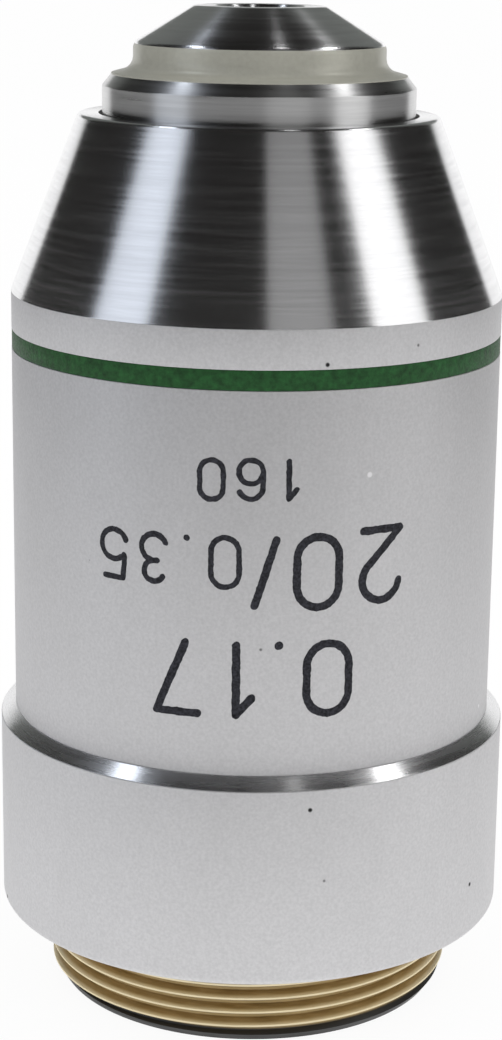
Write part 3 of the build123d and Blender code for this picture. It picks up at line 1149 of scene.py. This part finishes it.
@dataclass(frozen=True)
class Washer:
    """Plain ring between two other pieces, with spanner slots where it is screwed in."""

    node: str
    inner: float
    outer: float
    low: float
    high: float
    body: Body = Body.NOSE
    finish: Finish = BLACKENED
    slot_width: float = 0.0
    slot_depth: float = 0.0
    most_rounding: float = 0.06

    def build(self) -> None:
        """Turns the ring, and cuts its spanner slots if it has them."""
        lathe = Lathe(160)
        lathe.ring(self.inner, self.outer, self.low, self.high,
                   min(self.most_rounding, (self.high - self.low) / 5))
        if self.slot_width:
            lathe.block((2 * self.outer + 2, self.slot_width, 2 * self.slot_depth),
                        (0, 0, self.low))
        lathe.piece(self.node + "_ring", self.body, [self.finish], [self.node])


@dataclass
class Optics:
    """Lenses, cells and spacers of the nose, from the front back to the retaining ring."""

    lenses: list[Lens] = field(default_factory=lambda: [
        Lens("front_lens", 2.57, 48.2, 0.0, 46.2, -1.29),
        Lens("second_lens", 4.64, 44.56, -1.02, 42.66, -2.09),
        Lens("doublet_a_crown", 4.9, 41.223, 0.89, 38.323, -1.45),
        Lens("doublet_a_flint", 4.9, 38.303, -1.45, 36.903, -0.4),
        Lens("doublet_b_crown", 4.6, 32.648, 0.68, 30.048, -1.35),
        Lens("doublet_b_flint", 4.6, 30.028, -1.35, 28.728, -0.31),
        Lens("rear_lens", 4.3, 21.16, -1.25, 18.16, -1.66)])
    cells: list[Cell] = field(default_factory=lambda: [
        Cell("doublet_a_cell", 4.9, 41.43, 5.2), Cell("doublet_b_cell", 4.6, 33.03, 4.7),
        Cell("rear_cell", 4.3, 23.33, 4.7)])
    rings: list[Washer] = field(default_factory=lambda: [
        Washer("second_lens_ring", 3.74, 4.64, 42.696, 43.896),
        Washer("front_spacer", 5.32, 6.27, 33.43, 36.23),
        Washer("aperture_stop", 2.8, 6.27, 33.03, 33.43),
        Washer("rear_spacer", 5.32, 6.27, 23.33, 28.33),
        Washer("retaining_ring", 4.87, 6.27, 16.83, 18.63, slot_width=1.0, slot_depth=0.8)])

    def build(self) -> None:
        """Builds every glass and ring of the nose."""
        for part in (*self.lenses, *self.cells, *self.rings):
            part.build()


@dataclass
class SpringSet:
    """Spring that pushes the nose out, with the washers at its two ends."""

    radius: float = 9.185
    wire: float = 0.4
    wire_sides: int = 16
    low: float = 22.37
    high: float = 32.68
    turns: int = 5
    travel: float = 2.0
    turn_steps: int = 56
    cut_slack: float = 1e-5

    def coil(self) -> None:
        """Winds the wire, grinds both ends flat and gives the coil a mesh of its own."""
        shell = bmesh.new()
        place = (Matrix.Translation((self.radius, 0, self.low))
                 @ Matrix.Rotation(QUARTER, 4, "X"))
        bmesh.ops.create_circle(shell, cap_ends=False, segments=self.wire_sides,
                                radius=self.wire, matrix=place)
        steps = self.turns * self.turn_steps
        spun(shell, math.tau * self.turns, steps, rise=(self.high - self.low) / steps)
        bmesh.ops.holes_fill(shell, edges=open_edges(shell), sides=0)
        for level in (self.low, self.high):
            sliced(shell, level, self.cut_slack, low=level == self.low, high=level == self.high)
            bmesh.ops.holes_fill(shell, edges=open_edges(shell), sides=0)
        lathe = Lathe()
        lathe.take(shell)
        coil = lathe.piece("spring_coil", Body.HOUSING, [STEEL], ["nose_spring"])
        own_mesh(coil)

    def build(self) -> None:
        """Builds the coil and the two washers."""
        self.coil()
        for node, inner, low, high in (("spring_seat", 7.7, 21.85, 22.35),
                                       ("parfocal_shim", 8.7, 34.3, 34.6)):
            Washer(node, inner, 10.77, low, high, Body.HOUSING, WASHER_BRASS).build()


class Pen:
    """Cutter of one width that draws figures on a flat strip, each stroke with round ends."""

    cap_steps = 8
    line_step = 0.12
    arc_step = 0.1

    def __init__(self, width: float) -> None:
        """Starts with an empty strip.

        Args:
            width: width of a stroke.
        """
        self.half = width / 2
        self.mesh = bmesh.new()

    def nib(self, middle: Vector, across: Vector) -> list:
        """Lays the cutter's edge down.

        Args:
            middle: where the cutter stands.
            across: unit vector from its middle to its left end.

        Returns:
            The edge's three vertices, from left to right, and its two edges.
        """
        verts = [self.mesh.verts.new(middle + across * self.half * side) for side in (1, 0, -1)]
        return verts + [self.mesh.edges.new(verts[:2]), self.mesh.edges.new(verts[1:])]

    def cap(self, middle: Vector, across: Vector, turn: float) -> None:
        """Rounds a stroke's end: half of the cutter's edge turns about its middle.

        Args:
            middle: end of the stroke's middle line.
            across: unit vector from there to the stroke's left side.
            turn: angle in radians.
        """
        verts = [self.mesh.verts.new(middle + across * self.half), self.mesh.verts.new(middle)]
        spun(self.mesh, turn, self.cap_steps, verts + [self.mesh.edges.new(verts)], centre=middle)

    def line(self, start: Sequence[float], end: Sequence[float]) -> None:
        """Draws a straight stroke.

        Args:
            start: first point of its middle line.
            end: last point.
        """
        first, last = Vector((*start, 0)), Vector((*end, 0))
        way = last - first
        across = Vector((-way.y, way.x, 0)).normalized()
        edges = picked(self.nib(first, across), bmesh.types.BMEdge)
        steps = max(1, round(way.length / self.line_step))
        for _ in range(steps):
            grown = bmesh.ops.extrude_edge_only(self.mesh, edges=edges)["geom"]
            edges = picked(grown, bmesh.types.BMEdge)
            bmesh.ops.translate(self.mesh, vec=way / steps, verts=picked(grown, bmesh.types.BMVert))
        self.cap(first, across, math.pi)
        self.cap(last, across, -math.pi)

    def arc(self, middle: Sequence[float], radius: float, start: float, sweep: float) -> None:
        """Draws a round stroke.

        Args:
            middle: centre of the arc.
            radius: radius of the stroke's middle line.
            start: angle where it starts, in degrees from +x.
            sweep: degrees that it turns, negative for clockwise.
        """
        centre = Vector((*middle, 0))
        turn = math.radians(sweep)
        ends = []
        for angle in (math.radians(start), math.radians(start + sweep)):
            out = Vector((math.cos(angle), math.sin(angle), 0))
            ends.append((centre + out * radius, out if sweep < 0 else -out))
        steps = max(6, round(abs(turn) * radius / self.arc_step))
        spun(self.mesh, turn, steps, self.nib(*ends[0]), centre=centre)
        self.cap(*ends[0], math.pi)
        self.cap(*ends[1], -math.pi)


@dataclass(frozen=True)
class Figure:
    """One engraved sign: its place along the girth and its height, as it is read upright.

    The figures stand on their heads on the sleeve, because the objective hangs in use. left
    and foot are the girth and height where the sign's left side and foot lie.
    """

    sign: Sign
    left: float
    foot: float
    width: float
    height: float
    stroke: float

    def draw(self, pen: Pen) -> None:
        """Draws the sign with the pen's middle line inside the sign's box.

        Args:
            pen: pen whose origin is the sign's lower left corner.
        """
        w, h = self.width - self.stroke, self.height - self.stroke
        r = w / 2
        if self.sign is Sign.ZERO:
            pen.arc((r, h - r), r, 0, 180)
            pen.line((0, h - r), (0, r))
            pen.arc((r, r), r, 180, 180)
            pen.line((w, r), (w, h - r))
        elif self.sign is Sign.ONE:
            flag_drop = w * 1.15
            pen.line((w, h), (w, 0))
            pen.line((w, h), (0, h - flag_drop))
        elif self.sign is Sign.TWO:
            reach = math.hypot(r, h - r)
            slope = math.atan2(h - r, r) - math.asin(r / reach)
            neck = math.sqrt(reach * reach - r * r)
            pen.arc((r, h - r), r, 172, -172 - 90 + math.degrees(slope))
            pen.line((0, 0), (neck * math.cos(slope), neck * math.sin(slope)))
            pen.line((0, 0), (w, 0))
        elif self.sign is Sign.THREE:
            low, top, bar = h * 0.28, h * 0.22, w * 0.12
            pen.arc((w - low, low), low, 90, -245)
            pen.arc((w - low, h - top), top, 150, -240)
            pen.line((w - low, 2 * low), (w - low - bar, 2 * low))
        elif self.sign is Sign.FIVE:
            bowl = h * 0.31
            pen.line((0.12 * w, h), (w * 0.92, h))
            pen.line((0.12 * w, h), (0.04 * w, h * 0.56))
            pen.arc((r, bowl), bowl, 140, -298)
        elif self.sign is Sign.SIX:
            pen.arc((r, r), r, 0, 360)
            pen.line((0, r), (0, h - r))
            pen.arc((r, h - r), r, 180, -158)
        elif self.sign is Sign.SEVEN:
            pen.line((0, h), (w, h))
            pen.line((w, h), (w * 0.3, 0))
        elif self.sign is Sign.SLASH:
            pen.line((0, 0), (w, h))
        elif self.sign is Sign.POINT:
            pen.line((0, 0), (0.03, 0))


@dataclass
class Engraving:
    """Generic optical figures on the sleeve: magnification and aperture, tube, cover glass."""

    radius: float = 11.925
    floor: float = 11.9
    tremble: float = 0.035
    tremble_size: float = 0.16
    weld: float = 1e-3
    figures: list[Figure] = field(default_factory=lambda: [
        Figure(Sign.ONE, 2.06, 29.35, 0.62, 1.98, 0.25),
        Figure(Sign.SIX, 0.53, 29.41, 1.34, 2.04, 0.25),
        Figure(Sign.ZERO, -1.26, 29.37, 1.32, 2.06, 0.25),
        Figure(Sign.TWO, 7.28, 26.0, 2.33, 3.72, 0.38),
        Figure(Sign.ZERO, 4.16, 25.89, 2.35, 3.66, 0.38),
        Figure(Sign.SLASH, 1.22, 25.81, 1.31, 3.46, 0.36),
        Figure(Sign.ZERO, -0.50, 25.81, 1.54, 2.56, 0.26),
        Figure(Sign.POINT, -2.9, 25.72, 0.28, 0.28, 0.27),
        Figure(Sign.THREE, -3.87, 25.75, 1.50, 2.49, 0.27),
        Figure(Sign.FIVE, -5.95, 25.71, 1.52, 2.51, 0.27),
        Figure(Sign.ZERO, 4.75, 20.85, 2.4, 3.72, 0.38),
        Figure(Sign.POINT, 1.45, 20.85, 0.4, 0.4, 0.4),
        Figure(Sign.ONE, 0.2, 20.85, 1.1, 3.72, 0.38),
        Figure(Sign.SEVEN, -2.3, 20.85, 2.35, 3.72, 0.38)])

    def wrap(self, pen: Pen, figure: Figure) -> None:
        """Turns a drawn sign on its head and lays it round the sleeve with a trembling edge.

        Blender starts this noise from the clock, so the edge trembles anew at each run.

        Args:
            pen: pen that drew the sign.
            figure: the sign's place.
        """
        for vert in pen.mesh.verts:
            girth = figure.left - figure.stroke / 2 - vert.co.x
            height = figure.foot - figure.stroke / 2 - vert.co.y
            shake = noise.noise_vector(Vector((girth, height, 0)) / self.tremble_size)
            shake *= self.tremble
            turn = (girth + shake.x) / self.radius
            vert.co = (self.radius * math.sin(turn), -self.radius * math.cos(turn),
                       height + shake.y)

    def build(self) -> None:
        """Draws, wraps and thickens every sign, as one piece."""
        lathe = Lathe()
        share = self.floor / self.radius
        for figure in self.figures:
            pen = Pen(figure.stroke)
            figure.draw(pen)
            welded(pen.mesh, self.weld)
            self.wrap(pen, figure)
            grown = bmesh.ops.extrude_face_region(pen.mesh, geom=pen.mesh.faces[:])["geom"]
            bmesh.ops.scale(pen.mesh, vec=(share, share, 1.0),
                            verts=picked(grown, bmesh.types.BMVert))
            lathe.take(pen.mesh)
        lathe.piece("sleeve_figures", Body.HOUSING, [FIGURE_BLACK], [])


@dataclass(frozen=True)
class SoftBox:
    """Area lamp on a circle round the object; lengths in metres.

    It stands upright and faces the axis, or hangs level and shines down where depth is given.
    """

    name: str
    azimuth: float
    width: float
    low: float
    high: float
    radiance: float
    colour: tuple[float, float, float] = (1.0, 1.0, 1.0)
    distance: float = 0.34
    depth: float = 0.0

    def light(self) -> None:
        """Hangs the lamp; azimuth is counted from the camera's side towards +X."""
        data = bpy.data.lights.new(self.name, "AREA")
        data.shape = "RECTANGLE"
        data.size = self.width
        data.size_y = self.depth or self.high - self.low
        data.color = self.colour
        data.energy = self.radiance * math.pi * data.size * data.size_y
        angle = math.radians(self.azimuth)
        lamp = placed(self.name, data)
        lamp.location = (self.distance * math.sin(angle), -self.distance * math.cos(angle),
                         (self.low + self.high) / 2)
        lamp.rotation_euler = Euler((0 if self.depth else QUARTER, 0, angle), "XYZ")
        lamp.visible_camera = False


@dataclass(frozen=True)
class Wall:
    """Curved wall round the object; sweep is the turn from the studio's wall reach, in degrees."""

    name: str
    tone: tuple[float, float, float]
    strength: float
    low: float
    sweep: float
    steps: int
    roofed: bool = False


@dataclass
class Studio:
    """Camera, floor, dark and grey walls, lamps and world; lengths in metres."""

    camera_place: tuple[float, float, float] = (0.0, -0.114344, 0.052580)
    pitch: float = -14.263
    yaw: float = 0.0645
    roll: float = 0.762
    lens: float = 81.734
    sensor: float = 36.0
    clip_start: float = 0.005
    floor_radius: float = 3.0
    floor_grey: float = 0.85
    floor_share: float = 0.93
    wall_radius: float = 0.45
    wall_height: float = 0.62
    wall_reach: float = 138.0
    walls: list[Wall] = field(default_factory=lambda: [
        Wall("dark_wall", (1.0, 0.95, 0.9), 0.015, -0.02, 276.0, 64, roofed=True),
        Wall("grey_wall", (0.95, 1.0, 0.95), 0.16, 0.13, -84.0, 24)])
    boxes: list[SoftBox] = field(default_factory=lambda: [
        SoftBox("softbox_right", 71.0, 0.178, 0.045, 0.46, 1.3),
        SoftBox("softbox_left", -66.0, 0.172, 0.045, 0.46, 1.0, (0.84, 0.9, 1.0)),
        SoftBox("reflector_front", 21.0, 0.19, 0.03, 0.46, 0.3),
        SoftBox("overhead_right", 106.5, 0.14, 0.44, 0.44, 5.5, distance=0.285, depth=0.07),
        SoftBox("overhead_left", -104.5, 0.14, 0.46, 0.46, 5.5, (0.84, 0.9, 1.0), 0.258, 0.06),
        SoftBox("overhead_middle", 106.0, 0.1, 0.5, 0.5, 2.5, distance=0.082, depth=0.03)])

    def camera(self) -> None:
        """Sets the camera at the photograph's angle."""
        data = bpy.data.cameras.new("camera")
        data.lens = self.lens
        data.sensor_width = data.sensor_height = self.sensor
        data.sensor_fit = "AUTO"
        data.clip_start = self.clip_start
        view = placed("camera", data)
        turn = (Matrix.Rotation(math.radians(90 + self.pitch), 4, "X")
                @ Matrix.Rotation(math.radians(self.yaw), 4, "Y")
                @ Matrix.Rotation(math.radians(self.roll), 4, "Z"))
        view.location = self.camera_place
        view.rotation_euler = turn.to_euler()
        bpy.context.scene.camera = view

    def world(self) -> None:
        """Makes a plain white world, the same for every kind of ray."""
        world = bpy.data.worlds.new("white_surround")
        world.use_nodes = True
        back = world.node_tree.nodes["Background"]
        back.inputs["Color"].default_value = (1, 1, 1, 1)
        back.inputs["Strength"].default_value = 1.0
        bpy.context.scene.world = world

    def show_white(self, graph: Graph) -> None:
        """Lets camera, mirror and glass rays see the floor almost white, shadow kept.

        Args:
            graph: graph of the floor's material.
        """
        path = graph.add("ShaderNodeLightPath").outputs
        seen = path["Is Camera Ray"]
        for ray in ("Is Glossy Ray", "Is Transmission Ray"):
            seen = graph.add("ShaderNodeMath", {0: seen, 1: path[ray]},
                             operation="MAXIMUM").outputs[0]
        part = graph.add("ShaderNodeMath", {0: seen, 1: self.floor_share}, operation="MULTIPLY")
        white = graph.add("ShaderNodeEmission", {"Color": (1, 1, 1, 1), "Strength": 1.0})
        mix = graph.add("ShaderNodeMixShader", {0: part.outputs[0], 1: graph.shader.outputs[0],
                                                2: white.outputs[0]})
        below = graph.add("ShaderNodeNewGeometry").outputs["Backfacing"]
        clear = graph.add("ShaderNodeBsdfTransparent")
        side = graph.add("ShaderNodeMixShader", {0: below, 1: mix.outputs[0],
                                                 2: clear.outputs[0]})
        graph.show(side.outputs[0])

    def floor(self) -> None:
        """Lays the pale floor, clear from below so that the thread's end can be seen."""
        graph = Graph("pale_floor")
        graph.finish(Base_Color=(*(self.floor_grey,) * 3, 1.0), Roughness=0.9,
                     Specular_IOR_Level=0.1)
        self.show_white(graph)
        mesh = bmesh.new()
        bmesh.ops.create_circle(mesh, cap_ends=True, segments=96, radius=self.floor_radius)
        for face in mesh.faces:
            if face.normal.z < 0:
                face.normal_flip()
        self.put(mesh, "floor", graph.material)

    def stand(self, wall: Wall) -> None:
        """Stands a wall that metal reflects between the lamps and the camera doesn't see.

        Args:
            wall: the wall's glow and sizes.
        """
        graph = Graph(wall.name)
        glow = graph.add("ShaderNodeEmission", {"Color": (*wall.tone, 1.0),
                                                "Strength": wall.strength})
        graph.show(glow.outputs[0])
        mesh = bmesh.new()
        start = math.radians(-self.wall_reach)
        x, y = self.wall_radius * math.sin(start), -self.wall_radius * math.cos(start)
        mesh.edges.new([mesh.verts.new((x, y, z)) for z in (wall.low, self.wall_height)])
        spun(mesh, math.radians(wall.sweep), wall.steps)
        if wall.roofed:
            bmesh.ops.create_circle(mesh, cap_ends=True, segments=wall.steps,
                                    radius=self.wall_radius,
                                    matrix=Matrix.Translation((0, 0, self.wall_height)))
        thing = self.put(mesh, wall.name, graph.material)
        thing.visible_camera = thing.visible_diffuse = False

    def put(self, mesh: bmesh.types.BMesh, name: str,
            material: bpy.types.Material) -> bpy.types.Object:
        """Makes a stage object of a mesh.

        Args:
            mesh: mesh in metres, freed here.
            name: name of the object.
            material: its material.

        Returns:
            The stage object.
        """
        data = stored(name, mesh)
        data.materials.append(material)
        thing = placed(name, data)
        return thing

    def build(self) -> None:
        """Sets camera, light and ground."""
        self.camera()
        self.world()
        self.floor()
        for wall in self.walls:
            self.stand(wall)
        for box in self.boxes:
            box.light()


def dress_guide_screw() -> None:
    """Gives the guide screw, whose CAD shape stays, its steel."""
    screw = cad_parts["guide_screw"]
    screw.data.materials.clear()
    screw.data.materials.append(STEEL.material())
    log.info("guide_screw: CAD shape in %s", STEEL.name)


def main() -> None:
    """Builds the studio and the pieces in order."""
    logging.basicConfig(level=logging.INFO, format="%(message)s")
    bpy.context.scene.view_settings.view_transform = "Standard"
    Studio().build()
    dress_guide_screw()
    for assembly in (Mount(), Sleeve(), Engraving(), Barrel(), FrontCell(), Optics(), SpringSet()):
        assembly.build()
    bpy.context.view_layer.update()


if __name__ == "__main__":
    main()
